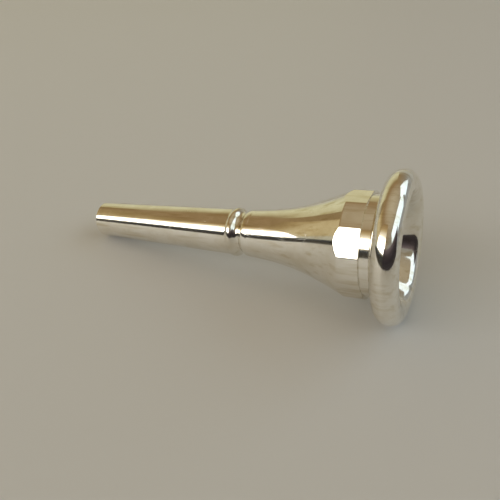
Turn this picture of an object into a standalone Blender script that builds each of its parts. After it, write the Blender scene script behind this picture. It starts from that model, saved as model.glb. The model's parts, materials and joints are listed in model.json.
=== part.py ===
"""Horn mouthpiece in three screwed metal parts with two small seals.

Metres, +Z up.  The piece lies on its side on the ground: the rim and the end
of the shank touch z = 0 and the rim points along +X.

Every part is turned about one common axis.  Stations along that axis are in
millimetres: the shank's open end is at 2.2 and the rim's face at 66.45.
"""
import math

import bmesh
import bpy
from mathutils import Vector

MM = 0.001

# --- Shank (stem) ---------------------------------------------------------
SHANK_START = 2.2
SHANK_STOP = 34.0
SHANK_END_RADIUS = 3.55
SHANK_TOP_RADIUS = 4.40
SHANK_EDGE = 0.12
BEAD_RADIUS = 4.60
BEAD_PROFILE = (
    (34.22, 4.53),
    (34.60, BEAD_RADIUS),
    (34.95, 4.53),
    (35.25, 4.32),
    (35.65, 3.94),
)
WAIST_RADIUS = 3.80
WAIST_START = 36.0
STEM_SHOULDER = 36.40
STEM_TIP = 42.1
BACKBORE_END_RADIUS = 3.06
BACKBORE_TOP_RADIUS = 2.44

# --- Screw thread between stem and cup -----------------------------------
PITCH = 0.75
THREAD_DEPTH = 0.44
THREAD_PLAY = 0.15
STEM_THREAD_RADIUS = 3.40
STEM_THREAD_START = 37.95
STEM_THREAD_END = 41.7
STEM_RELIEF_RADIUS = 2.92
STEM_RELIEF_END = 37.6

# --- Cup ------------------------------------------------------------------
CUP_START = 36.48
CUP_START_RADIUS = 3.86
CUP_EDGE_PROFILE = (
    (36.75, 4.03),
    (37.05, 4.24),
)
CUP_FLARE = (
    (37.4, 4.36),
    (39.4, 4.56),
    (42.0, 4.81),
    (44.6, 5.18),
    (47.2, 5.76),
    (49.7, 6.51),
    (52.3, 7.45),
    (54.9, 8.52),
    (57.5, 9.64),
)
FLARE_STEPS = (37.4, 39.4, 42.0, 44.0, 45.8, 47.5, 49.2, 50.9, 52.6, 54.3)
COLLAR_RADIUS = 9.20
COLLAR_FLATS = 6
COLLAR_FLAT_HALF_ANGLE = 15.0
COLLAR_TURN = 30.0
COLLAR_END = 59.9
NECK_RADIUS = 8.75
CUP_END = 61.5
NECK_EDGE = 0.1
SOCKET_FLOOR = 56.1
BOWL_RADIUS = 6.06
THROAT_RADIUS = 2.38
BOWL_PROFILE = (
    (54.0, 5.46),
    (51.0, 4.62),
    (48.0, 3.76),
    (46.0, 3.16),
    (44.7, 2.68),
    (44.0, 2.45),
    (43.4, THROAT_RADIUS),
)
CUP_STEM_STOP = 42.4
CUP_STEM_THREAD_START = 38.2
CUP_STEM_THREAD_END = 42.0
CUP_RIM_THREAD_START = 57.5
CUP_RIM_THREAD_END = 60.9

# --- Rim ------------------------------------------------------------------
RIM_SHOULDER = 61.58
RIM_RING_STATION = 64.25
RIM_RING_RADIUS = 10.73
RIM_ROUNDING = 2.20
BITE_ANGLE = 154.0
RIM_NECK_END = 62.0
RIM_THREAD_RADIUS = 8.10
RIM_THREAD_START = 57.2
RIM_THREAD_END = 60.6
RIM_TIP = 56.2
RIM_TIP_EDGE = 0.2
RIM_BOWL_PROFILE = (
    (64.0, 8.18),
    (62.7, 7.62),
    (61.5, 7.20),
    (60.0, 6.80),
    (58.0, 6.38),
    (56.2, 6.08),
)
SEAL_GROOVE_INNER = 6.55
SEAL_GROOVE_OUTER = 7.30
SEAL_GROOVE_DEPTH = 0.75

# --- Seals ----------------------------------------------------------------
RIM_SEAL_STATION = 56.55
RIM_SEAL_RADIUS = 6.85
RIM_SEAL_SECTION = 0.28
STEM_SEAL_STATION = 37.0
STEM_SEAL_RADIUS = 3.235
STEM_SEAL_SECTION = 0.30

# --- Roundness of the turned parts ---------------------------------------
COLUMNS = 48
SEAL_COLUMNS = 36
RIM_COLUMNS = 46
RIM_REST_HALF = 11.0
STEM_COLUMNS = 34
STEM_REST_HALF = 16.0
SEAL_SIDES = 8

# Crest, crest, root and root of one turn of thread, as parts of the pitch.
OUTER_THREAD_TURN = ((0.06, 1.0), (0.19, 1.0), (0.47, 0.0), (0.78, 0.0))
INNER_THREAD_TURN = ((0.0, 0.0), (0.25, 0.0), (0.53, 1.0), (0.72, 1.0))
SMALLEST_STEP = 0.02


def clear_scene():
    for item in list(bpy.data.objects):
        bpy.data.objects.remove(item, do_unlink=True)


def metal(name, colour, roughness):
    material = bpy.data.materials.new(name)
    material.use_nodes = True
    shader = material.node_tree.nodes["Principled BSDF"]
    shader.inputs["Base Color"].default_value = (*colour, 1.0)
    shader.inputs["Metallic"].default_value = 1.0
    shader.inputs["Roughness"].default_value = roughness
    return material


def rubber(name, colour):
    material = bpy.data.materials.new(name)
    material.use_nodes = True
    shader = material.node_tree.nodes["Principled BSDF"]
    shader.inputs["Base Color"].default_value = (*colour, 1.0)
    shader.inputs["Roughness"].default_value = 0.6
    return material


# --- Profiles: a loop of rings and threads, met in order ------------------
def ring(station, radius):
    """A plain ring; station and radius may each be a function of the angle."""
    return ("ring", station, radius)


def thread(start, end, low, high, turn, inward):
    """A screw thread from start to end; its loop runs backwards if inward."""
    return ("thread", start, end, low, high, turn, inward)


def value_at(entry, angle):
    if callable(entry):
        return entry(angle)
    return entry


def thread_rows(section, angle):
    """Stations and radii of a thread along one line parallel to the axis."""
    _, start, end, low, high, turn, inward = section
    first = math.floor(start / PITCH) - 3
    turns = math.ceil((end - start) / PITCH) + 6
    part_turn = angle / (2.0 * math.pi)
    base = high if inward else low
    rows = []
    for step in range(turns):
        for offset, height in turn:
            station = PITCH * (first + step + offset + part_turn)
            radius = low + (high - low) * (height if not inward else 1.0 - height)
            if station < start + SMALLEST_STEP:
                rows.append((start, base))
                continue
            if station > end - SMALLEST_STEP:
                rows.append((end, base))
                continue
            fade = min(1.0, (station - start) / (0.5 * PITCH), (end - station) / (0.5 * PITCH))
            rows.append((station, base + (radius - base) * fade))
    if inward:
        rows.reverse()
    return rows


def column_points(sections, angle):
    points = []
    for section in sections:
        if section[0] == "ring":
            points.append((value_at(section[1], angle), value_at(section[2], angle)))
        else:
            points.extend(thread_rows(section, angle))
    return points


def even_angles(columns, first_angle):
    return [first_angle + 2.0 * math.pi * column / columns for column in range(columns)]


def resting_angles(columns, half):
    """Even columns, except for one wider face at the bottom that the part rests on."""
    start = 270.0 + half
    step = (360.0 - 2.0 * half) / (columns - 1)
    return [math.radians(start + step * column) for column in range(columns)]


def turned_part(name, sections, angles, origin_station, material):
    """Close the profile loop around the axis and return the new object."""
    body = bmesh.new()
    known = {}
    loops = []
    columns = len(angles)
    for column in range(columns + 1):
        angle = angles[column % columns] + 2.0 * math.pi * (column // columns)
        line = []
        for station, radius in column_points(sections, angle):
            key = (column % columns, round(station, 4), round(radius, 4))
            if key not in known:
                place = Vector((
                    (station - origin_station) * MM,
                    radius * math.cos(angle) * MM,
                    radius * math.sin(angle) * MM,
                ))
                known[key] = body.verts.new(place)
            line.append(known[key])
        loops.append(line)
    for column in range(columns):
        join_columns(body, loops[column], loops[column + 1])
    bmesh.ops.recalc_face_normals(body, faces=body.faces)
    mesh = bpy.data.meshes.new(name)
    body.to_mesh(mesh)
    body.free()
    mesh.materials.append(material)
    mesh.shade_smooth()
    mesh.set_sharp_from_angle(angle=math.radians(28.0))
    part = bpy.data.objects.new(name, mesh)
    bpy.context.scene.collection.objects.link(part)
    return part


def join_columns(body, left, right):
    """Faces between two neighbouring columns of the closed loop."""
    count = len(left)
    for row in range(count):
        after = (row + 1) % count
        corners = []
        for vert in (left[row], left[after], right[after], right[row]):
            if vert not in corners:
                corners.append(vert)
        if len(corners) > 2:
            body.faces.new(corners)


# --- Shapes shared by more than one profile -------------------------------
def flare_radius(station):
    """Outside radius of the cup between the stem and the collar."""
    for (s0, r0), (s1, r1) in zip(CUP_FLARE, CUP_FLARE[1:]):
        if station <= s1:
            return r0 + (r1 - r0) * (station - s0) / (s1 - s0)
    return CUP_FLARE[-1][1]


def flare_station(radius):
    """Station at which the outside of the flare reaches a radius."""
    for (s0, r0), (s1, r1) in zip(CUP_FLARE, CUP_FLARE[1:]):
        if radius <= r1:
            return s0 + (s1 - s0) * (radius - r0) / (r1 - r0)
    return CUP_FLARE[-1][0]


def collar_radius(angle):
    """Turned collar with wrench flats milled on it."""
    flat = COLLAR_RADIUS * math.cos(math.radians(COLLAR_FLAT_HALF_ANGLE))
    sector = 2.0 * math.pi / COLLAR_FLATS
    turned = (angle - math.radians(COLLAR_TURN) + 0.5 * sector) % sector - 0.5 * sector
    return min(COLLAR_RADIUS, flat / math.cos(turned))


def collar_start(angle):
    return flare_station(collar_radius(angle))


def rim_ring_points():
    """Outside of the rounded rim from its back to the bite."""
    points = []
    angles = [-115.0, -95.0, -75.0, -55.0, -38.0, -22.0, -8.0, 8.0, 25.0, 43.0]
    angles += [60.0, 78.0, 95.0, 112.0, 128.0, 142.0, BITE_ANGLE]
    for degrees in angles:
        turn = math.radians(degrees)
        station = RIM_RING_STATION + RIM_ROUNDING * math.sin(turn)
        radius = RIM_RING_RADIUS + RIM_ROUNDING * math.cos(turn)
        points.append((station, radius))
    return points


# --- The parts ------------------------------------------------------------
def make_stem():
    """Tapered shank, bead and waist, ending in a threaded spigot."""
    low = STEM_THREAD_RADIUS - THREAD_DEPTH
    long = SHANK_STOP - SHANK_START
    rise = SHANK_TOP_RADIUS - SHANK_END_RADIUS
    profile = [
        ring(SHANK_START, SHANK_END_RADIUS - SHANK_EDGE),
        ring(SHANK_START + SHANK_EDGE, SHANK_END_RADIUS),
        ring(SHANK_START + 0.35 * long, SHANK_END_RADIUS + 0.35 * rise),
        ring(SHANK_START + 0.7 * long, SHANK_END_RADIUS + 0.7 * rise),
        ring(SHANK_STOP, SHANK_TOP_RADIUS),
    ]
    profile += [ring(station, radius) for station, radius in BEAD_PROFILE]
    profile += [
        ring(WAIST_START, WAIST_RADIUS),
        ring(STEM_SHOULDER, WAIST_RADIUS),
        ring(STEM_SHOULDER, STEM_RELIEF_RADIUS),
        ring(STEM_RELIEF_END, STEM_RELIEF_RADIUS),
        thread(STEM_THREAD_START, STEM_THREAD_END, low, STEM_THREAD_RADIUS, OUTER_THREAD_TURN, False),
        ring(STEM_TIP, low - 0.25),
        ring(STEM_TIP, BACKBORE_TOP_RADIUS),
        ring(28.0, 2.62),
        ring(14.0, 2.83),
        ring(SHANK_START + SHANK_EDGE, BACKBORE_END_RADIUS),
        ring(SHANK_START, BACKBORE_END_RADIUS + 0.06),
    ]
    silver = metal("stem silver plate on brass", (0.72, 0.70, 0.64), 0.12)
    angles = resting_angles(STEM_COLUMNS, STEM_REST_HALF)
    return turned_part("stem", profile, angles, STEM_SHOULDER, silver)


def make_cup():
    """Flared body with wrench flats, the bowl, and a socket at each end."""
    rim_high = RIM_THREAD_RADIUS + THREAD_PLAY
    rim_low = rim_high - THREAD_DEPTH
    stem_high = STEM_THREAD_RADIUS + THREAD_PLAY
    stem_low = stem_high - THREAD_DEPTH
    profile = [ring(CUP_START, CUP_START_RADIUS)]
    profile += [ring(station, radius) for station, radius in CUP_EDGE_PROFILE]
    profile += [ring(station, flare_radius(station)) for station in FLARE_STEPS]
    profile += [
        ring(collar_start, collar_radius),
        ring(COLLAR_END, collar_radius),
        ring(COLLAR_END, NECK_RADIUS),
        ring(CUP_END - NECK_EDGE, NECK_RADIUS),
        ring(CUP_END, NECK_RADIUS - NECK_EDGE),
        ring(CUP_END, rim_high),
        thread(CUP_RIM_THREAD_START, CUP_RIM_THREAD_END, rim_low, rim_high, INNER_THREAD_TURN, True),
        ring(SOCKET_FLOOR, rim_high),
        ring(SOCKET_FLOOR, BOWL_RADIUS),
    ]
    profile += [ring(station, radius) for station, radius in BOWL_PROFILE]
    profile += [
        ring(CUP_STEM_STOP, THROAT_RADIUS),
        ring(CUP_STEM_STOP, stem_high),
        thread(CUP_STEM_THREAD_START, CUP_STEM_THREAD_END, stem_low, stem_high, INNER_THREAD_TURN, True),
        ring(CUP_START, stem_high),
    ]
    silver = metal("cup silver plate on brass", (0.74, 0.72, 0.66), 0.10)
    angles = even_angles(COLUMNS, math.radians(COLLAR_TURN))
    return turned_part("cup", profile, angles, COLLAR_END, silver)


def make_rim():
    """Rounded rim with the mouth of the bowl and a threaded spigot."""
    low = RIM_THREAD_RADIUS - THREAD_DEPTH
    profile = [
        ring(RIM_SHOULDER, low),
        ring(RIM_SHOULDER, NECK_RADIUS - NECK_EDGE),
        ring(RIM_SHOULDER + NECK_EDGE, NECK_RADIUS),
        ring(RIM_NECK_END, NECK_RADIUS),
        ring(RIM_NECK_END + 0.2, NECK_RADIUS + 0.2),
        ring(RIM_NECK_END + 0.28, NECK_RADIUS + 0.6),
    ]
    profile += [ring(station, radius) for station, radius in rim_ring_points()]
    profile += [ring(station, radius) for station, radius in RIM_BOWL_PROFILE]
    profile += [
        ring(RIM_TIP, SEAL_GROOVE_INNER),
        ring(RIM_TIP + SEAL_GROOVE_DEPTH, SEAL_GROOVE_INNER),
        ring(RIM_TIP + SEAL_GROOVE_DEPTH, SEAL_GROOVE_OUTER),
        ring(RIM_TIP, SEAL_GROOVE_OUTER),
        ring(RIM_TIP, low - RIM_TIP_EDGE),
        ring(RIM_TIP + RIM_TIP_EDGE, low),
        thread(RIM_THREAD_START, RIM_THREAD_END, low, RIM_THREAD_RADIUS, OUTER_THREAD_TURN, False),
    ]
    silver = metal("rim silver plate on brass", (0.76, 0.74, 0.69), 0.08)
    angles = resting_angles(RIM_COLUMNS, RIM_REST_HALF)
    return turned_part("rim", profile, angles, RIM_SHOULDER, silver)


def make_seal(name, station, radius, section):
    """Round rubber ring."""
    profile = []
    for side in range(SEAL_SIDES):
        turn = 2.0 * math.pi * (side + 0.5) / SEAL_SIDES
        profile.append(ring(station + section * math.sin(turn), radius + section * math.cos(turn)))
    black = rubber(name + " rubber", (0.03, 0.03, 0.032))
    return turned_part(name, profile, even_angles(SEAL_COLUMNS, 0.0), station, black)


def resting_tilt():
    """Angle between the axis and the ground when rim and shank end touch it."""
    end_radius = SHANK_END_RADIUS * math.cos(math.radians(STEM_REST_HALF))
    end_station = SHANK_START + SHANK_EDGE
    slopes = []
    for station, radius in rim_ring_points():
        rim_radius = radius * math.cos(math.radians(RIM_REST_HALF))
        slopes.append(math.atan2(rim_radius - end_radius, station - end_station))
    return max(slopes)


def lowest_and_middle(parts):
    bpy.context.view_layer.update()
    places = [part.matrix_world @ vert.co for part in parts for vert in part.data.vertices]
    low = min(place.z for place in places)
    left = min(place.x for place in places)
    right = max(place.x for place in places)
    near = min(place.y for place in places)
    far = max(place.y for place in places)
    return Vector((0.5 * (left + right), 0.5 * (near + far), low))


def main():
    clear_scene()
    axis = bpy.data.objects.new("mouthpiece_axis", None)
    bpy.context.scene.collection.objects.link(axis)
    axis.rotation_euler = (0.0, -resting_tilt(), 0.0)
    stations = {
        make_stem(): STEM_SHOULDER,
        make_cup(): COLLAR_END,
        make_rim(): RIM_SHOULDER,
        make_seal("rim_seal", RIM_SEAL_STATION, RIM_SEAL_RADIUS, RIM_SEAL_SECTION): RIM_SEAL_STATION,
        make_seal("stem_seal", STEM_SEAL_STATION, STEM_SEAL_RADIUS, STEM_SEAL_SECTION): STEM_SEAL_STATION,
    }
    for part, station in stations.items():
        part.parent = axis
        part.location = (station * MM, 0.0, 0.0)
    axis.location = -lowest_and_middle(list(stations))
    bpy.context.view_layer.update()


main()
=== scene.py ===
"""Looks of a horn mouthpiece: silver-plated stem, cup and rim, and two rubber rings.

Stations are millimetres along the mouthpiece's own axis: the shank's open end is
at 2.2 and the rim's face at 66.45.  Radii are millimetres from that axis.
The stem and the rim screw into the cup, and each carries a rubber ring.
"""
import json
import math

import bpy
import numpy as np
from bpy.props import FloatProperty, FloatVectorProperty, IntProperty, PointerProperty
from bpy.types import Operator, Panel, PropertyGroup
from mathutils import Matrix, Vector


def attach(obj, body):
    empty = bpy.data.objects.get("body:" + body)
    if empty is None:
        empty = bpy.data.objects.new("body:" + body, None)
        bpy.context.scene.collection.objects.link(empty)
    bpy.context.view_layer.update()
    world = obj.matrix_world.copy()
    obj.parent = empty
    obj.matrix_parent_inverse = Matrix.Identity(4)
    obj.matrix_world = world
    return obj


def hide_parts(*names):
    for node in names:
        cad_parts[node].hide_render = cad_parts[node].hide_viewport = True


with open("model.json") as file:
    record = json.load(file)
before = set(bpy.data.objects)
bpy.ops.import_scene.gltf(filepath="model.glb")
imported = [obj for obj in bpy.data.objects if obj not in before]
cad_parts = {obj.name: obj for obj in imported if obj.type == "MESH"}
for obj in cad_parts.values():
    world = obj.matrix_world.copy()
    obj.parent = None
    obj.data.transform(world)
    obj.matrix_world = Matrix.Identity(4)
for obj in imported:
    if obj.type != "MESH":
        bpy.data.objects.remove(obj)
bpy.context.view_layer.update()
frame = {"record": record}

bl_info = {
    "name": "Horn Mouthpiece",
    "version": (1, 0, 0),
    "blender": (4, 5, 0),
    "location": "View3D > Sidebar > Mouthpiece",
    "description": "Builds a silver-plated horn mouthpiece that unscrews into rim, cup and stem",
    "category": "Add Mesh",
}

MM = 0.001

# Shank: plain taper with a bead, then the waist in front of the cup.
SHANK_START = 2.2
SHANK_EDGE = 0.12
# Bead: place past the end of the taper, and how far below its largest radius.
BEAD = ((0.22, -0.07), (0.60, 0.0), (0.95, -0.07), (1.25, -0.28), (1.65, -0.66))
WAIST_START = 36.0
BACKBORE = ((42.1, 2.44), (36.0, 2.50), (28.0, 2.62), (14.0, 2.83), (2.32, 3.06))
STEM_SHOULDER = 36.40
STEM_TIP = 42.1
STEM_RELIEF_RADIUS = 2.92
STEM_RELIEF_END = 37.6
STEM_THREAD = (37.95, 41.7)

# Cup: flare, collar with wrench flats, neck, and the bowl inside.
FLARE = ((37.4, 4.36), (42.0, 4.81), (47.2, 5.76), (52.3, 7.45), (57.5, 9.64))
FLARE_ROWS = 72
CUP_START = 36.48
CUP_EDGE = ((36.48, 3.86), (36.75, 4.03), (37.05, 4.24), (37.4, 4.36), (38.2, 4.44))
CUP_END = 61.5
SOCKET_FLOOR = 56.1
CUP_STEM_STOP = 42.4
CUP_RIM_THREAD = (57.5, 60.9)
CUP_STEM_THREAD = (38.2, 42.0)
CUP_BOWL = ((56.1, 6.06), (54.0, 5.46), (51.0, 4.62), (48.0, 3.76), (46.0, 3.16), (44.7, 2.68), (43.8, 2.42))
THROAT_RADIUS = 2.38
THROAT_START = 43.3
# The stretch where the flare may meet the collar, and the softness of a flat's edge.
FLARE_TOP = (50.0, 57.5)
FLAT_EDGE = 0.03
# Columns beside each edge of a flat, in degrees from it, and between the edges.
EDGE_COLUMNS = (-0.9, -0.6, -0.4, -0.25, -0.12, 0.0, 0.12, 0.25, 0.4, 0.6, 0.9)
BETWEEN_COLUMNS = 11

# Rim: round ring with the mouth of the bowl, and its spigot.
RIM_SHOULDER = 61.58
RIM_NECK_END = 62.0
RING_STATION = 64.25
BITE_ANGLE = 154.0
RIM_BOWL = ((65.21, 8.75), (64.0, 8.18), (62.7, 7.62), (61.5, 7.20), (60.0, 6.80), (58.0, 6.38), (56.2, 6.08))
RIM_TIP = 56.2
RIM_THREAD = (57.2, 60.6)
SEAL_GROOVE = (6.55, 7.30, 0.75)
RING_ROWS = 97
RING_START = -112.0

# Rubber rings: station and radius of the section's middle, the section and its mould fin.
SEALS = (("rim_seal", 56.55, 6.85), ("stem_seal", 37.0, 3.235))
SEAL_SECTION = 0.26
SEAL_SIDES = 40
MOULD_FIN = 0.02

# Small gap, in stations, below which a thread ridge ends.
RIDGE_END = 0.01

# Threads: pitch, depth and play on the radius.
PITCH = 0.75
THREAD_DEPTH = 0.44
THREAD_PLAY = 0.15
STEM_THREAD_RADIUS = 3.40
RIM_THREAD_RADIUS = 8.10

# One turn of thread from crest to root: place along the pitch, and height.
OUTER_TURN = (
    (0.03, 0.86), (0.06, 0.97), (0.10, 1.0), (0.15, 1.0), (0.19, 0.97), (0.22, 0.86),
    (0.43, 0.12), (0.47, 0.02), (0.52, 0.0), (0.73, 0.0), (0.78, 0.02), (0.82, 0.12),
)
INNER_TURN = (
    (0.0, 0.02), (0.04, 0.0), (0.21, 0.0), (0.25, 0.02), (0.29, 0.14), (0.49, 0.86),
    (0.53, 0.97), (0.57, 1.0), (0.68, 1.0), (0.72, 0.97), (0.76, 0.86), (0.96, 0.14),
)


def srgb(code):
    """Linear colour, with alpha, of an sRGB hex value."""
    values = [int(code[i:i + 2], 16) / 255.0 for i in (0, 2, 4)]
    linear = [v / 12.92 if v <= 0.04045 else ((v + 0.055) / 1.055) ** 2.4 for v in values]
    return (*linear, 1.0)


def length(name, text, default_mm):
    """A size property, given in millimetres."""
    return FloatProperty(name=name, description=text, default=default_mm * MM, unit="LENGTH", precision=5)


def colour(name, text, code):
    """A colour property, given as sRGB hex."""
    return FloatVectorProperty(name=name, description=text, default=srgb(code), size=4, subtype="COLOR")


class MouthpieceSizes(PropertyGroup):
    """Outside sizes that a maker would change."""

    shank_end: length("Shank end radius", "Outside radius at the open end of the shank", 3.55)
    shank_top: length("Shank top radius", "Outside radius where the taper meets the bead", 4.40)
    shank_length: length("Shank length", "From the open end to the bead", 31.8)
    bead_radius: length("Bead radius", "Outside radius of the bead", 4.60)
    waist_radius: length("Waist radius", "Radius at the bottom of the groove before the cup", 3.80)
    collar_radius: length("Collar radius", "Turned radius of the collar between its flats", 9.20)
    collar_end: length("Collar end", "Station of the collar's step towards the rim", 59.9)
    neck_radius: length("Neck radius", "Radius of the neck between collar and rim", 8.75)
    ring_radius: length("Rim ring radius", "Radius of the middle line of the rounded rim", 10.73)
    rounding: length("Rim rounding", "Radius of the rim's round section", 2.20)
    flats: IntProperty(
        name="Wrench flats",
        description="Flats milled on the collar",
        default=6,
        min=2,
        max=12,
    )
    flat_half_angle: FloatProperty(
        name="Flat half angle",
        description="Half of the angle that one wrench flat takes up round the collar",
        default=math.radians(15.0),
        subtype="ANGLE",
    )
    flat_turn: FloatProperty(
        name="Flat turn",
        description="Direction of the first wrench flat round the axis",
        default=math.radians(30.0),
        subtype="ANGLE",
    )


class MouthpieceColours(PropertyGroup):
    """Colours of the plating, the rubber and the studio."""

    silver: colour("Silver", "Clean silver plate", "F3F0E8")
    tarnish: colour("Tarnish", "Silver plate where it has begun to yellow", "CFC2A2")
    rubber: colour("Rubber", "Nitrile rubber rings", "1B1B1C")
    floor: colour("Floor", "Studio floor", "D0D0CF")


# --- Profiles --------------------------------------------------------------
def smooth_curve(knots):
    """Natural cubic spline of radius against station."""
    knots = sorted(knots)
    x = np.array([k[0] for k in knots])
    y = np.array([k[1] for k in knots])
    h = np.diff(x)
    size = len(x)
    matrix = np.eye(size)
    right = np.zeros(size)
    for i in range(1, size - 1):
        matrix[i, i - 1:i + 2] = (h[i - 1], 2.0 * (h[i - 1] + h[i]), h[i])
        right[i] = 6.0 * ((y[i + 1] - y[i]) / h[i] - (y[i] - y[i - 1]) / h[i - 1])
    bend = np.linalg.solve(matrix, right)

    def radius(station):
        i = int(np.clip(np.searchsorted(x, station) - 1, 0, size - 2))
        a = (x[i + 1] - station) / h[i]
        b = 1.0 - a
        curve = ((a ** 3 - a) * bend[i] + (b ** 3 - b) * bend[i + 1]) * h[i] ** 2 / 6.0
        return float(a * y[i] + b * y[i + 1] + curve)

    return radius


def sampled(knots, rows):
    """Points along the spline through the knots, in the knots' own direction."""
    radius = smooth_curve(knots)
    start = knots[0][0]
    end = knots[-1][0]
    stations = [start + (end - start) * i / (rows - 1) for i in range(rows)]
    return [(station, radius(station)) for station in stations]


def filleted(corners, steps=6, support=0.05):
    """Round each corner (station, radius, reach) and hold the faces beside it flat."""
    points = []
    last = len(corners) - 1
    for i, (station, radius, reach) in enumerate(corners):
        if reach == 0.0 or i in (0, last):
            points.append((station, radius))
            continue
        here = np.array((station, radius))
        sides = []
        for other in (corners[i - 1], corners[i + 1]):
            way = np.array(other[:2]) - here
            far = float(np.linalg.norm(way))
            sides.append((way / far, min(reach, 0.45 * far), min(reach + support, 0.48 * far)))
        (back, back_reach, back_hold), (ahead, ahead_reach, ahead_hold) = sides
        points.append(tuple(here + back * back_hold))
        start = here + back * back_reach
        end = here + ahead * ahead_reach
        for step in range(steps + 1):
            t = step / steps
            points.append(tuple((1 - t) ** 2 * start + 2 * t * (1 - t) * here + t * t * end))
        points.append(tuple(here + ahead * ahead_hold))
    return points


def thread_rows(ends, low, high, turn, inward, angle):
    """One column of a right-hand thread; its ridges fade out at both ends."""
    start, end = ends
    first = math.floor(start / PITCH) - 3
    turns = math.ceil((end - start) / PITCH) + 6
    base = high if inward else low
    rows = []
    for step in range(turns):
        for offset, height in turn:
            station = PITCH * (first + step + offset + angle / math.tau)
            if station < start + RIDGE_END:
                rows.append((start, base))
                continue
            if station > end - RIDGE_END:
                rows.append((end, base))
                continue
            ridge = low + (high - low) * (1.0 - height if inward else height)
            fade = min(1.0, (station - start) / (0.5 * PITCH), (end - station) / (0.5 * PITCH))
            rows.append((station, base + (ridge - base) * fade))
    return rows[::-1] if inward else rows


def turned_object(name, angles, column):
    """A closed body turned about its own X axis; column(angle) gives its loop."""
    count = len(angles)
    verts = []
    faces = []
    known = {}
    loops = []
    for index in range(count + 1):
        angle = angles[index % count] + (math.tau if index == count else 0.0)
        across = math.cos(angle)
        up = math.sin(angle)
        line = []
        for station, radius in column(angle):
            key = (index % count, round(station, 5), round(radius, 5))
            if key not in known:
                known[key] = len(verts)
                verts.append((station * MM, radius * across * MM, radius * up * MM))
            line.append(known[key])
        loops.append(line)
    for left, right in zip(loops, loops[1:]):
        rows = len(left)
        for row in range(rows):
            after = (row + 1) % rows
            ring = dict.fromkeys((left[row], left[after], right[after], right[row]))
            if len(ring) > 2:
                faces.append(tuple(ring)[::-1])
    mesh = bpy.data.meshes.new(name)
    mesh.from_pydata(verts, [], faces)
    mesh.validate()
    mesh.shade_smooth()
    piece = bpy.data.objects.new(name, mesh)
    bpy.context.scene.collection.objects.link(piece)
    piece.matrix_world = axis_place()
    return piece


def axis_place():
    """Where the mouthpiece's axis lies: X along it, station 0 at the shank's end."""
    joint = next(j for j in frame["record"]["behaviour"]["joints"] if j["name"] == "rim_turn")
    along = Vector(joint["axis"]).normalized()
    side = Vector((0.0, 1.0, 0.0))
    up = along.cross(side)
    start = Vector(joint["pos_m"]) - along * RIM_SHOULDER * MM
    turn = Matrix((along, side, up)).transposed().to_4x4()
    return Matrix.Translation(start) @ turn


def even_angles(count, first=0.0):
    return [first + math.tau * i / count for i in range(count)]


def set_on_body(piece, body, node):
    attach(piece, body)
    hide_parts(node)


# --- Materials -------------------------------------------------------------
def add(tree, kind, settings=None, links=None):
    """Add a node, set its own fields or its sockets, and link into its inputs."""
    node = tree.nodes.new(kind)
    for key, value in (settings or {}).items():
        if isinstance(key, str) and hasattr(node, key):
            setattr(node, key, value)
        else:
            node.inputs[key].default_value = value
    for key, source in (links or {}).items():
        tree.links.new(source, node.inputs[key])
    return node


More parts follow.
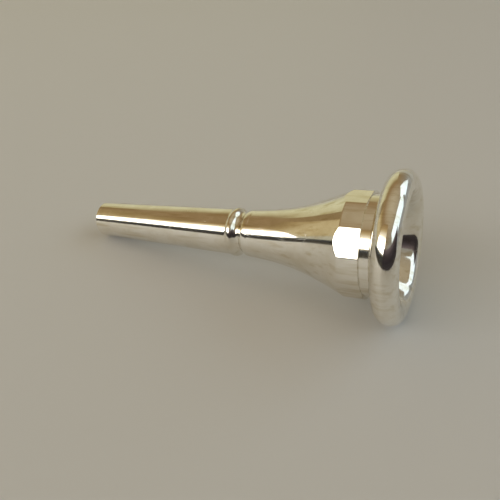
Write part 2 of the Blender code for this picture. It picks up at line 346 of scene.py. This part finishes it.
def silver_plate(name, roughness, lines):
    """Silver plate on turned brass, buffed.

    Gives a bright, slightly warm mirror.  Wide soft waves come from buffing by
    hand, fine rings from turning, and hair scratches and handling marks from use.
    """
    tones = bpy.context.scene.mouthpiece_colours
    material = bpy.data.materials.new(name)
    material.use_nodes = True
    tree = material.node_tree
    tree.nodes.clear()
    place = add(tree, "ShaderNodeTexCoord")
    where = place.outputs["Object"]
    # Handling marks: cloudy patches about 4 mm wide.
    cloud = add(
        tree, "ShaderNodeTexNoise",
        {"Scale": 250.0, "Detail": 4.0, "Roughness": 0.6},
        {"Vector": where},
    )
    patch = add(
        tree, "ShaderNodeMapRange",
        {"From Min": 0.42, "From Max": 0.75, "To Min": 0.0, "To Max": 0.45},
        {"Value": cloud.outputs["Fac"]},
    )
    # Wiping streaks: about 1 mm wide and 10 mm long, in line with the axis.
    draw = add(tree, "ShaderNodeMapping", {"Scale": (0.1, 1.0, 1.0)}, {"Vector": where})
    wiped = add(
        tree, "ShaderNodeTexNoise",
        {"Scale": 950.0, "Detail": 3.0, "Roughness": 0.55},
        {"Vector": draw.outputs["Vector"]},
    )
    streak = add(
        tree, "ShaderNodeMapRange",
        {"From Min": 0.48, "From Max": 0.72, "To Min": 0.0, "To Max": 0.7},
        {"Value": wiped.outputs["Fac"]},
    )
    stain = add(
        tree, "ShaderNodeMath", {"operation": "MAXIMUM"},
        {0: patch.outputs["Result"], 1: streak.outputs["Result"]},
    )
    tint = add(
        tree, "ShaderNodeMix",
        {"data_type": "RGBA", 6: tuple(tones.silver), 7: tuple(tones.tarnish)},
        {0: stain.outputs["Value"]},
    )
    # Hair scratches: the edges of long cells about 1 mm wide.  They are drawn
    # 0.05 mm wide, several times as coarse as real ones, so they show.
    stretch = add(
        tree, "ShaderNodeMapping",
        {"Scale": (0.12, 1.0, 1.0), "Rotation": (0.4, 0.7, 0.2)},
        {"Vector": where},
    )
    hair = add(
        tree, "ShaderNodeTexVoronoi",
        {"feature": "DISTANCE_TO_EDGE", "Scale": 1000.0, "Randomness": 1.0},
        {"Vector": stretch.outputs["Vector"]},
    )
    scratch = add(
        tree, "ShaderNodeMapRange",
        {"From Min": 0.0, "From Max": 0.05, "To Min": 1.0, "To Max": 0.0},
        {"Value": hair.outputs["Distance"]},
    )
    # Only some scratches show: they fade in and out over about 3 mm.
    some = add(tree, "ShaderNodeTexNoise", {"Scale": 330.0, "Detail": 1.0}, {"Vector": where})
    few = add(
        tree, "ShaderNodeMapRange",
        {"From Min": 0.5, "From Max": 0.7, "To Min": 0.0, "To Max": 1.0},
        {"Value": some.outputs["Fac"]},
    )
    marks = add(
        tree, "ShaderNodeMath", {"operation": "MULTIPLY"},
        {0: scratch.outputs["Result"], 1: few.outputs["Result"]},
    )
    # Turning rings: 0.12 mm apart, drawn twice as coarse as real ones so they show.
    split = add(tree, "ShaderNodeSeparateXYZ", links={"Vector": where})
    rings = add(
        tree, "ShaderNodeTexNoise",
        {"noise_dimensions": "1D", "Scale": 8000.0, "Detail": 2.0},
        {"W": split.outputs["X"]},
    )
    # Buffing waves: about 5 mm long.
    waves = add(
        tree, "ShaderNodeTexNoise",
        {"Scale": 190.0, "Detail": 1.0, "Roughness": 0.4},
        {"Vector": where},
    )
    worn = add(
        tree, "ShaderNodeMapRange",
        {"From Min": 0.3, "From Max": 0.8, "To Min": roughness, "To Max": roughness + 0.05},
        {"Value": cloud.outputs["Fac"]},
    )
    rough = add(
        tree, "ShaderNodeMath", {"operation": "MULTIPLY_ADD", 1: 0.2},
        {0: marks.outputs["Value"], 2: worn.outputs["Result"]},
    )
    soft = add(
        tree, "ShaderNodeBump", {"Strength": 0.6, "Distance": 0.00003},
        {"Height": waves.outputs["Fac"]},
    )
    fine = add(
        tree, "ShaderNodeBump", {"Strength": lines, "Distance": 0.0000004},
        {"Height": rings.outputs["Fac"], "Normal": soft.outputs["Normal"]},
    )
    cut = add(
        tree, "ShaderNodeBump", {"Strength": 0.35, "Distance": 0.000002, "invert": True},
        {"Height": marks.outputs["Value"], "Normal": fine.outputs["Normal"]},
    )
    shader = add(
        tree, "ShaderNodeBsdfPrincipled", {"Metallic": 1.0},
        {
            "Base Color": tint.outputs[2],
            "Roughness": rough.outputs["Value"],
            "Normal": cut.outputs["Normal"],
        },
    )
    add(tree, "ShaderNodeOutputMaterial", links={"Surface": shader.outputs["BSDF"]})
    return material


def nitrile_rubber():
    """Moulded nitrile rubber: near black, with a dull sheen and a fine grain."""
    tones = bpy.context.scene.mouthpiece_colours
    material = bpy.data.materials.new("moulded nitrile rubber")
    material.use_nodes = True
    tree = material.node_tree
    tree.nodes.clear()
    place = add(tree, "ShaderNodeTexCoord")
    # Mould grain: 0.05 mm.
    where = place.outputs["Object"]
    grain = add(tree, "ShaderNodeTexNoise", {"Scale": 20000.0, "Detail": 3.0}, {"Vector": where})
    # Bloom and dust: pale patches about 1 mm wide.
    bloom = add(tree, "ShaderNodeTexNoise", {"Scale": 900.0, "Detail": 3.0}, {"Vector": where})
    dust = add(
        tree, "ShaderNodeMix",
        {"data_type": "RGBA", 6: tuple(tones.rubber), 7: srgb("3A3936")},
        {0: bloom.outputs["Fac"]},
    )
    rough = add(
        tree, "ShaderNodeMapRange", {"To Min": 0.45, "To Max": 0.7},
        {"Value": bloom.outputs["Fac"]},
    )
    bump = add(
        tree, "ShaderNodeBump", {"Strength": 0.4, "Distance": 0.00001},
        {"Height": grain.outputs["Fac"]},
    )
    shader = add(
        tree, "ShaderNodeBsdfPrincipled", {"IOR": 1.52},
        {
            "Base Color": dust.outputs[2],
            "Roughness": rough.outputs["Result"],
            "Normal": bump.outputs["Normal"],
        },
    )
    add(tree, "ShaderNodeOutputMaterial", links={"Surface": shader.outputs["BSDF"]})
    return material


# --- Pieces ----------------------------------------------------------------
class MOUTHPIECE_OT_stem(Operator):
    """Tapered shank with its bead and waist, backbore and threaded spigot"""

    bl_idname = "mouthpiece.stem"
    bl_label = "Stem"

    def execute(self, context):
        sizes = context.scene.mouthpiece_sizes
        end = sizes.shank_end / MM
        top = sizes.shank_top / MM
        long = sizes.shank_length / MM
        bead = sizes.bead_radius / MM
        waist = sizes.waist_radius / MM
        low = STEM_THREAD_RADIUS - THREAD_DEPTH
        stop = SHANK_START + long
        knots = [(stop, top)] + [(stop + along, bead + drop) for along, drop in BEAD]
        knots += [(WAIST_START, waist), (WAIST_START + 0.2, waist - 0.01)]
        crown = [(station, radius, 0.0) for station, radius in sampled(knots, 48)]
        outside = filleted(
            [
                (SHANK_START, end - SHANK_EDGE - 0.1, 0.0),
                (SHANK_START, end - SHANK_EDGE, 0.05),
                (SHANK_START + SHANK_EDGE, end, 0.08),
                (stop - 0.25, top - 0.007, 0.0),
            ]
            + crown
            + [
                (STEM_SHOULDER, waist, 0.04),
                (STEM_SHOULDER, STEM_RELIEF_RADIUS, 0.06),
                (STEM_RELIEF_END, STEM_RELIEF_RADIUS, 0.0),
            ]
        )
        tip = filleted(
            [
                (STEM_THREAD[1] + 0.01, low, 0.0),
                (STEM_TIP, low - 0.25, 0.05),
                (STEM_TIP, BACKBORE[0][1] + 0.05, 0.0),
            ]
        )
        inside = sampled(BACKBORE, 40) + [(SHANK_START, BACKBORE[-1][1] + 0.06)]

        def column(angle):
            screw = thread_rows(STEM_THREAD, low, STEM_THREAD_RADIUS, OUTER_TURN, False, angle)
            return outside + screw + tip + inside

        piece = turned_object("stem_body", even_angles(240), column)
        piece.data.materials.append(silver_plate("silver plate, buffed shank", 0.075, 0.5))
        set_on_body(piece, "stem", "stem")
        return {"FINISHED"}


class MOUTHPIECE_OT_cup(Operator):
    """Flared cup with wrench flats, bowl, throat and both screw sockets"""

    bl_idname = "mouthpiece.cup"
    bl_label = "Cup"

    def execute(self, context):
        sizes = context.scene.mouthpiece_sizes
        collar = sizes.collar_radius / MM
        collar_end = sizes.collar_end / MM
        neck = sizes.neck_radius / MM
        half = sizes.flat_half_angle
        sector = math.tau / sizes.flats
        first = sizes.flat_turn
        flat = collar * math.cos(half)
        flare = smooth_curve(FLARE)
        stations = np.linspace(*FLARE_TOP, 400)
        radii = np.array([flare(station) for station in stations])
        rim_high = RIM_THREAD_RADIUS + THREAD_PLAY
        stem_high = STEM_THREAD_RADIUS + THREAD_PLAY

        def collar_radius(angle):
            """Turned collar and milled flat, with a buffed edge 0.1 mm wide between them."""
            turned = (angle - first + 0.5 * sector) % sector - 0.5 * sector
            milled = flat / math.cos(turned)
            blend = max(FLAT_EDGE - abs(collar - milled), 0.0) / FLAT_EDGE
            return min(collar, milled) - 0.25 * FLAT_EDGE * blend * blend

        bowl = sampled(CUP_BOWL, 60) + [(THROAT_START, THROAT_RADIUS), (CUP_STEM_STOP, THROAT_RADIUS)]
        edge = [(station, radius, 0.0) for station, radius in sampled(CUP_EDGE, 30)[:-1]]

        def column(angle):
            radius = collar_radius(angle)
            start = float(np.interp(radius, radii, stations))
            rows = []
            for row in range(FLARE_ROWS):
                station = CUP_EDGE[-1][0] + (start - CUP_EDGE[-1][0]) * row / FLARE_ROWS
                rows.append((station, flare(station), 0.0))
            outside = filleted(
                [(CUP_START, stem_high + 0.05, 0.0)]
                + edge
                + rows
                + [
                    (start, radius, 0.16),
                    (collar_end, radius, 0.06),
                    (collar_end, neck, 0.05),
                    (CUP_END - 0.1, neck, 0.03),
                    (CUP_END, neck - 0.1, 0.03),
                    (CUP_END, rim_high, 0.0),
                ]
            )
            upper = thread_rows(CUP_RIM_THREAD, rim_high - THREAD_DEPTH, rim_high, INNER_TURN, True, angle)
            lower = thread_rows(CUP_STEM_THREAD, stem_high - THREAD_DEPTH, stem_high, INNER_TURN, True, angle)
            socket = [(SOCKET_FLOOR, rim_high)]
            stop = [(CUP_STEM_STOP, stem_high)]
            return outside + upper + socket + bowl + stop + lower

        angles = []
        for flat_index in range(sizes.flats):
            middle = first + sector * flat_index
            for side in (-half, half):
                angles += [middle + side + math.radians(d) for d in EDGE_COLUMNS]
            step = 2.0 * half / BETWEEN_COLUMNS
            angles += [middle - half + step * i for i in range(1, BETWEEN_COLUMNS)]
            step = (sector - 2.0 * half) / BETWEEN_COLUMNS
            angles += [middle + half + step * i for i in range(1, BETWEEN_COLUMNS)]
        piece = turned_object("cup_body", sorted(a % math.tau for a in angles), column)
        piece.data.materials.append(silver_plate("silver plate, buffed cup", 0.07, 0.35))
        set_on_body(piece, "cup", "cup")
        return {"FINISHED"}


class MOUTHPIECE_OT_rim(Operator):
    """Rounded rim with the mouth of the bowl and its threaded spigot"""

    bl_idname = "mouthpiece.rim"
    bl_label = "Rim"

    def execute(self, context):
        sizes = context.scene.mouthpiece_sizes
        neck = sizes.neck_radius / MM
        ring = sizes.ring_radius / MM
        rounding = sizes.rounding / MM
        low = RIM_THREAD_RADIUS - THREAD_DEPTH
        inner, outer, deep = SEAL_GROOVE
        round_part = []
        for degrees in np.linspace(RING_START, BITE_ANGLE, RING_ROWS):
            turn = math.radians(degrees)
            station = RING_STATION + rounding * math.sin(turn)
            round_part.append((station, ring + rounding * math.cos(turn), 0.0))
        outside = filleted(
            [
                (RIM_SHOULDER, low, 0.0),
                (RIM_SHOULDER, neck - 0.1, 0.03),
                (RIM_SHOULDER + 0.1, neck, 0.03),
                (RIM_NECK_END, neck, 0.1),
                (RIM_NECK_END + 0.2, neck + 0.2, 0.1),
            ]
            + round_part
        )
        bowl = sampled(RIM_BOWL, 60)[1:]
        tip = filleted(
            [
                (RIM_TIP, RIM_BOWL[-1][1], 0.0),
                (RIM_TIP, inner, 0.05),
                (RIM_TIP + deep, inner, 0.08),
                (RIM_TIP + deep, outer, 0.08),
                (RIM_TIP, outer, 0.05),
                (RIM_TIP, low - 0.2, 0.03),
                (RIM_TIP + 0.2, low, 0.03),
                (RIM_THREAD[0], low, 0.0),
            ]
        )[1:-1]

        def column(angle):
            screw = thread_rows(RIM_THREAD, low, RIM_THREAD_RADIUS, OUTER_TURN, False, angle)
            return outside + bowl + tip + screw

        piece = turned_object("rim_body", even_angles(288), column)
        piece.data.materials.append(silver_plate("silver plate, buffed rim", 0.06, 0.2))
        set_on_body(piece, "rim", "rim")
        return {"FINISHED"}


class MOUTHPIECE_OT_seals(Operator):
    """Rubber rings that stop the two screw joints from working loose"""

    bl_idname = "mouthpiece.seals"
    bl_label = "Rubber rings"

    def execute(self, context):
        rubber = nitrile_rubber()
        for name, station, radius in SEALS:
            loop = []
            for side in range(SEAL_SIDES):
                turn = math.tau * side / SEAL_SIDES
                # Mould line: a fin inside and outside the ring.
                fin = MOULD_FIN * max(0.0, 1.0 - abs(math.sin(turn)) / 0.12)
                section = SEAL_SECTION + fin
                loop.append((station + section * math.sin(turn), radius + section * math.cos(turn)))
            piece = turned_object(name + "_ring", even_angles(160), lambda angle, loop=loop: loop)
            piece.data.materials.append(rubber)
            set_on_body(piece, name, name)
        return {"FINISHED"}


# --- Studio ----------------------------------------------------------------
FLOOR_REACH = 3.0
# Front wall of the studio: the stretch that the softbox covers, from left to right.
FRONT_LINE = ((-2.05, -1.2), (0.05, -1.2))
WALL_RADIUS = 2.4
FLAG_RADIUS = 1.05
COOL_DISTANCE = 1.7
# Cool softboxes: name, direction from the front in degrees, width in metres.
COOL_PANES = (("right softbox", 93.0, 2.0), ("rear softbox", 145.0, 0.65))
# Room tones from straight down to straight up, on the left and on the right.
LEFT_TONES = ((0.0, "C2BFAE"), (0.24, "B0AA92"), (0.42, "8E7853"), (0.75, "957C58"), (1.0, "B4A78C"))
RIGHT_TONES = ((0.0, "9C9B96"), (0.24, "929493"), (0.42, "8B8A84"), (0.75, "9A8E78"), (1.0, "B4A78C"))
CAMERA_PLACE = (0.03696, -0.07356, 0.05722)
CAMERA_WAY = (-0.36, 0.7594, -0.542)
CAMERA_LENS = 36.36
SENSOR = 36.0
# The CAD rests on two small flats; the round pieces here reach 0.24 mm lower.
FLOOR_LEVEL = -0.00024


def point_along(item, place, way):
    item.location = place
    item.rotation_euler = Vector(way).to_track_quat("-Z", "Y").to_euler()


def softbox(name, place, way, size, code, strength):
    """Area light of an even radiance, hidden from the camera."""
    lamp = bpy.data.lights.new(name, "AREA")
    lamp.shape = "RECTANGLE"
    lamp.size, lamp.size_y = size
    lamp.color = srgb(code)[:3]
    lamp.energy = strength * math.pi * size[0] * size[1]
    box = bpy.data.objects.new(name, lamp)
    bpy.context.scene.collection.objects.link(box)
    point_along(box, place, way)
    box.visible_camera = False


def graded(tree, source, tones):
    """Colour that runs through tones of (place, sRGB hex)."""
    ramp = add(tree, "ShaderNodeValToRGB", links={"Fac": source})
    stops = ramp.color_ramp.elements
    while len(stops) < len(tones):
        stops.new(0.5)
    for stop, (at, code) in zip(stops, tones):
        stop.position = at
        stop.color = srgb(code)
    return ramp.outputs["Color"]


def cloth_wall(name, line, low, high, codes, strength=1.0):
    """Glowing cloth along a line of (x, y) points, in even steps of colour from its foot to its top."""
    verts = [(x, y, z) for x, y in line for z in (low, high)]
    faces = [(i, i + 2, i + 3, i + 1) for i in range(0, len(verts) - 2, 2)]
    mesh = bpy.data.meshes.new(name)
    mesh.from_pydata(verts, [], faces)
    panel = bpy.data.objects.new(name, mesh)
    bpy.context.scene.collection.objects.link(panel)
    material = bpy.data.materials.new(name + " cloth")
    material.use_nodes = True
    tree = material.node_tree
    tree.nodes.clear()
    place = add(tree, "ShaderNodeTexCoord")
    split = add(tree, "ShaderNodeSeparateXYZ", links={"Vector": place.outputs["Generated"]})
    tones = [(index / (len(codes) - 1), code) for index, code in enumerate(codes)]
    shade = graded(tree, split.outputs["Z"], tones)
    glow = add(tree, "ShaderNodeEmission", {"Strength": strength}, {"Color": shade})
    add(tree, "ShaderNodeOutputMaterial", links={"Surface": glow.outputs["Emission"]})
    mesh.materials.append(material)
    panel.visible_camera = False


def ring_line(radius, first, last):
    """Points round the object, in degrees from the front towards the right."""
    turns = np.radians(np.linspace(first, last, 11))
    return [(radius * math.sin(turn), -radius * math.cos(turn)) for turn in turns]


def studio_floor_material():
    """Painted board: pale, matt, with a little sheen at low angles."""
    tones = bpy.context.scene.mouthpiece_colours
    material = bpy.data.materials.new("painted studio board")
    material.use_nodes = True
    tree = material.node_tree
    tree.nodes.clear()
    shader = add(
        tree, "ShaderNodeBsdfPrincipled",
        {"Base Color": tuple(tones.floor), "Roughness": 0.55, "IOR": 1.5},
    )
    add(tree, "ShaderNodeOutputMaterial", links={"Surface": shader.outputs["BSDF"]})
    return material


class MOUTHPIECE_OT_stage(Operator):
    """Pale floor, soft studio light and the camera"""

    bl_idname = "mouthpiece.stage"
    bl_label = "Stage"

    def execute(self, context):
        self.make_floor(context)
        self.make_light(context)
        self.make_camera(context)
        return {"FINISHED"}

    def make_floor(self, context):
        reach = FLOOR_REACH
        level = FLOOR_LEVEL
        mesh = bpy.data.meshes.new("floor")
        sides = ((-reach, -reach), (reach, -reach), (reach, reach), (-reach, reach))
        mesh.from_pydata([(x, y, level) for x, y in sides], [], [(0, 1, 2, 3)])
        floor = bpy.data.objects.new("floor", mesh)
        context.scene.collection.objects.link(floor)
        mesh.materials.append(studio_floor_material())

    def make_light(self, context):
        self.make_room(context)
        # Big softbox along the front wall, seen as the white band down the silver.
        glow = ("FFFDF8", "FFFDF8", "FFFBF2", "8A7A5E")
        cloth_wall("front softbox", FRONT_LINE, 0.42, 1.12, glow, 4.0)
        # Warm cloth above and to the left of it, seen as the tan band.
        cloth_wall("front bounce", FRONT_LINE, 1.12, 2.1, ("FFF4DC", "C3AC80", "9E8358", "8E7550"))
        line = ring_line(WALL_RADIUS, -96, -61)
        cloth_wall("left bounce", line, 0.5, 2.1, ("BBAA80", "C6B48A", "A58E62", "8E7650"))
        line = ring_line(WALL_RADIUS, -166, -112)
        cloth_wall("rear bounce", line, 0.3, 2.0, ("C6C2A0", "D2CDA8", "BFB48C", "94805A"))
        # Cool softboxes at the right, in two panes.
        for name, turn, wide in COOL_PANES:
            turn = math.radians(turn)
            way = Vector((math.sin(turn), -math.cos(turn), 0.72)).normalized()
            softbox(name, COOL_DISTANCE * way, -way, (wide, 1.0), "D8EDF9", 1.15)
        # Dark flags: one low along the front wall, one round the right of the camera.
        cloth_wall("low flag", ((-3.4, -1.15), (0.1, -1.15)), 0.0, 0.34, ("4A463E", "3A3733", "3F4448"))
        line = ring_line(FLAG_RADIUS, -4, 96)
        cloth_wall("side flag", line, 0.0, 0.56, ("3C3838", "2F2A2C", "433C3E", "6E6262"))

    def make_room(self, context):
        """Soft light from the room: tan on the left and overhead, grey on the right."""
        world = bpy.data.worlds.new("studio")
        context.scene.world = world
        world.use_nodes = True
        tree = world.node_tree
        tree.nodes.clear()
        place = add(tree, "ShaderNodeTexCoord")
        split = add(tree, "ShaderNodeSeparateXYZ", links={"Vector": place.outputs["Generated"]})
        sides = [graded(tree, split.outputs["Z"], tones) for tones in (LEFT_TONES, RIGHT_TONES)]
        right = add(
            tree, "ShaderNodeMapRange", {"From Min": -0.2, "From Max": 0.5},
            {"Value": split.outputs["X"]},
        )
        room = add(
            tree, "ShaderNodeMix", {"data_type": "RGBA"},
            {0: right.outputs["Result"], 6: sides[0], 7: sides[1]},
        )
        glow = add(tree, "ShaderNodeBackground", {"Strength": 1.0}, {"Color": room.outputs[2]})
        add(tree, "ShaderNodeOutputWorld", links={"Surface": glow.outputs["Background"]})

    def make_camera(self, context):
        lens = bpy.data.cameras.new("camera")
        lens.sensor_width = SENSOR
        lens.lens = CAMERA_LENS
        lens.clip_start = 0.001
        camera = bpy.data.objects.new("camera", lens)
        context.scene.collection.objects.link(camera)
        point_along(camera, CAMERA_PLACE, CAMERA_WAY)
        context.scene.camera = camera
        context.scene.view_settings.view_transform = "Standard"


class MOUTHPIECE_PT_panel(Panel):
    """Lists the pieces and their sizes"""

    bl_idname = "MOUTHPIECE_PT_panel"
    bl_label = "Horn Mouthpiece"
    bl_space_type = "VIEW_3D"
    bl_region_type = "UI"
    bl_category = "Mouthpiece"

    def draw(self, context):
        layout = self.layout
        for operator in OPERATORS:
            layout.operator(operator.bl_idname)
        for group in (context.scene.mouthpiece_sizes, context.scene.mouthpiece_colours):
            box = layout.box()
            for name in group.__annotations__:
                box.prop(group, name)


OPERATORS = (
    MOUTHPIECE_OT_stem,
    MOUTHPIECE_OT_cup,
    MOUTHPIECE_OT_rim,
    MOUTHPIECE_OT_seals,
    MOUTHPIECE_OT_stage,
)
CLASSES = (MouthpieceSizes, MouthpieceColours, *OPERATORS, MOUTHPIECE_PT_panel)


def register():
    for item in CLASSES:
        bpy.utils.register_class(item)
    bpy.types.Scene.mouthpiece_sizes = PointerProperty(type=MouthpieceSizes)
    bpy.types.Scene.mouthpiece_colours = PointerProperty(type=MouthpieceColours)


def unregister():
    del bpy.types.Scene.mouthpiece_colours
    del bpy.types.Scene.mouthpiece_sizes
    for item in reversed(CLASSES):
        bpy.utils.unregister_class(item)


def main():
    register()
    bpy.ops.mouthpiece.stem()
    bpy.ops.mouthpiece.cup()
    bpy.ops.mouthpiece.rim()
    bpy.ops.mouthpiece.seals()
    bpy.ops.mouthpiece.stage()


if __name__ == "__main__":
    main()
